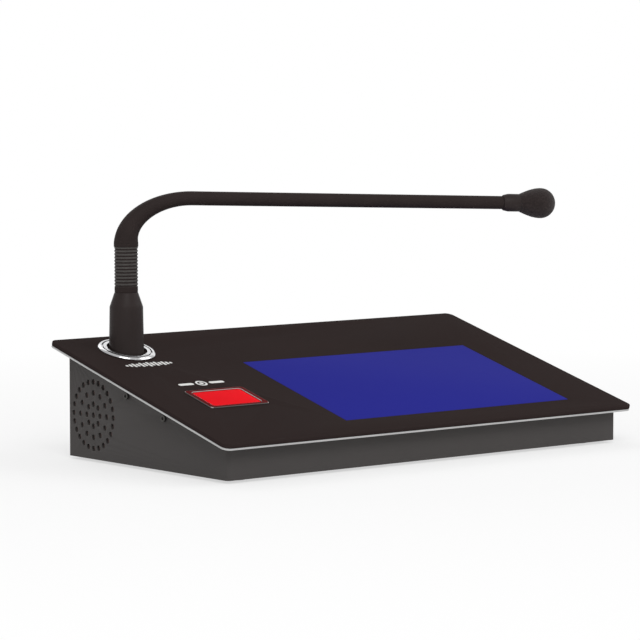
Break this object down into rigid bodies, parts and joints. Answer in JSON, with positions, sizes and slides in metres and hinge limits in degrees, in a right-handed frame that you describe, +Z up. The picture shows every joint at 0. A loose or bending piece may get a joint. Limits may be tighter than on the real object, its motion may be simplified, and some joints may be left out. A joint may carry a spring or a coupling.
{
  "type": "paging microphone",
  "caption": "Desk paging console with a sloping touch display, a red emergency push button, a side loudspeaker grille and a plug-in gooseneck microphone.",
  "frame": {"origin": "on the desk, under the middle of the top panel", "axes": "+X to the user's right, +Y to the back, +Z up; the user sits at -Y"},
  "size_m": [0.276, 0.1472, 0.1367],
  "materials": {
    "case_paint": "fine-textured dark grey powder coat on steel sheet",
    "foot_rubber": "matte black rubber",
    "plate_aluminium": "bare milled edge",
    "overlay_black": "brown-black satin panel",
    "bracket_steel": "zinc-plated sheet",
    "screw_steel": "plated steel",
    "display_glass": "glossy glass over a lit blue display",
    "module_plastic": "plain",
    "ribbon_film": "satin film",
    "bezel_plastic": "dark red moulded frame",
    "cap_red": "satin red moulded cap",
    "inner_plastic": "moulded black",
    "spring_steel": "drawn wire",
    "lamp_lens": "clear lens",
    "lead_insulation": "matte insulation",
    "ring_chrome": "polished with a dark groove",
    "contact_brass": "plated brass",
    "sleeve_black": "satin brown-black paint on metal",
    "boot_rubber": "grey-black ribbed rubber",
    "neck_sheath": "smooth matte sheath",
    "capsule_metal": "drawn can",
    "windscreen_foam": "open-cell foam",
    "acoustic_cloth": "black acoustic cloth",
    "magnet_iron": "plated magnet",
    "board_green": "solder mask",
    "jack_plastic": "moulded black",
    "rear_black": "black painted sheet"
  },
  "bodies": {
    "console": {"case_shell": "case_paint", "rubber_feet": "foot_rubber", "panel_plate": "plate_aluminium", "panel_overlay": "overlay_black", "left_bracket": "bracket_steel", "right_bracket": "bracket_steel", "side_screws": "screw_steel", "touch_glass": "display_glass", "lcd_module": "module_plastic", "lcd_clamps": "bracket_steel", "clamp_nuts": "screw_steel", "display_ribbon": "ribbon_film", "button_bezel": "bezel_plastic", "button_spring": "spring_steel", "contact_block": "inner_plastic", "button_retainer": "inner_plastic", "button_lamps": "lamp_lens", "button_lead": "lead_insulation", "socket_ring": "ring_chrome", "mic_socket": "inner_plastic", "socket_contacts": "contact_brass", "mic_lead": "lead_insulation", "grille_cloth": "acoustic_cloth", "speaker_gasket": "foot_rubber", "speaker_frame": "bracket_steel", "speaker_cone": "acoustic_cloth", "speaker_magnet": "magnet_iron", "speaker_lead": "lead_insulation", "main_board": "board_green", "board_parts": "inner_plastic", "board_standoffs": "contact_brass", "board_screws": "screw_steel", "network_jack": "jack_plastic", "jack_contacts": "contact_brass", "power_jack": "jack_plastic", "power_pin": "screw_steel", "rear_panel": "rear_black", "rear_screws": "screw_steel"},
    "emergency_button": {"button_cap": "cap_red", "button_plunger": "inner_plastic", "plunger_clip": "screw_steel"},
    "mic_plug": {"plug_sleeve": "sleeve_black", "plug_insert": "inner_plastic", "plug_pins": "contact_brass", "neck_boot": "boot_rubber", "neck_spine": "spring_steel"},
    "neck": {"neck_band": "neck_sheath", "neck_elbow": "neck_sheath"},
    "arm": {"neck_arm": "neck_sheath", "head_collar": "sleeve_black", "mic_capsule": "capsule_metal", "windscreen": "windscreen_foam"}
  },
  "joints": [
    {"name": "button_press", "type": "slide", "parent": "console", "child": "emergency_button", "axis": [0, 0.2672, -0.9636], "range_m": [0, 0.002], "stiffness_N_per_m": 900, "springref_m": -0.0012, "deforming": ["button_spring"]},
    {"name": "mic_unplug", "type": "slide", "parent": "console", "child": "mic_plug", "axis": [0, 0, 1], "range_m": [0, 0.016]},
    {"name": "neck_tilt", "type": "hinge", "parent": "mic_plug", "child": "neck", "pos_m": [-0.105, 0.05104, 0.09817], "axis": [-0.4695, -0.8829, 0], "range_deg": [-18, 25], "deforming": ["neck_boot", "neck_spine"]},
    {"name": "arm_swing", "type": "hinge", "parent": "neck", "child": "arm", "pos_m": [-0.105, 0.05104, 0.11038], "axis": [0, 0, 1], "range_deg": [-45, 60], "deforming": ["neck_elbow"]}
  ]
}
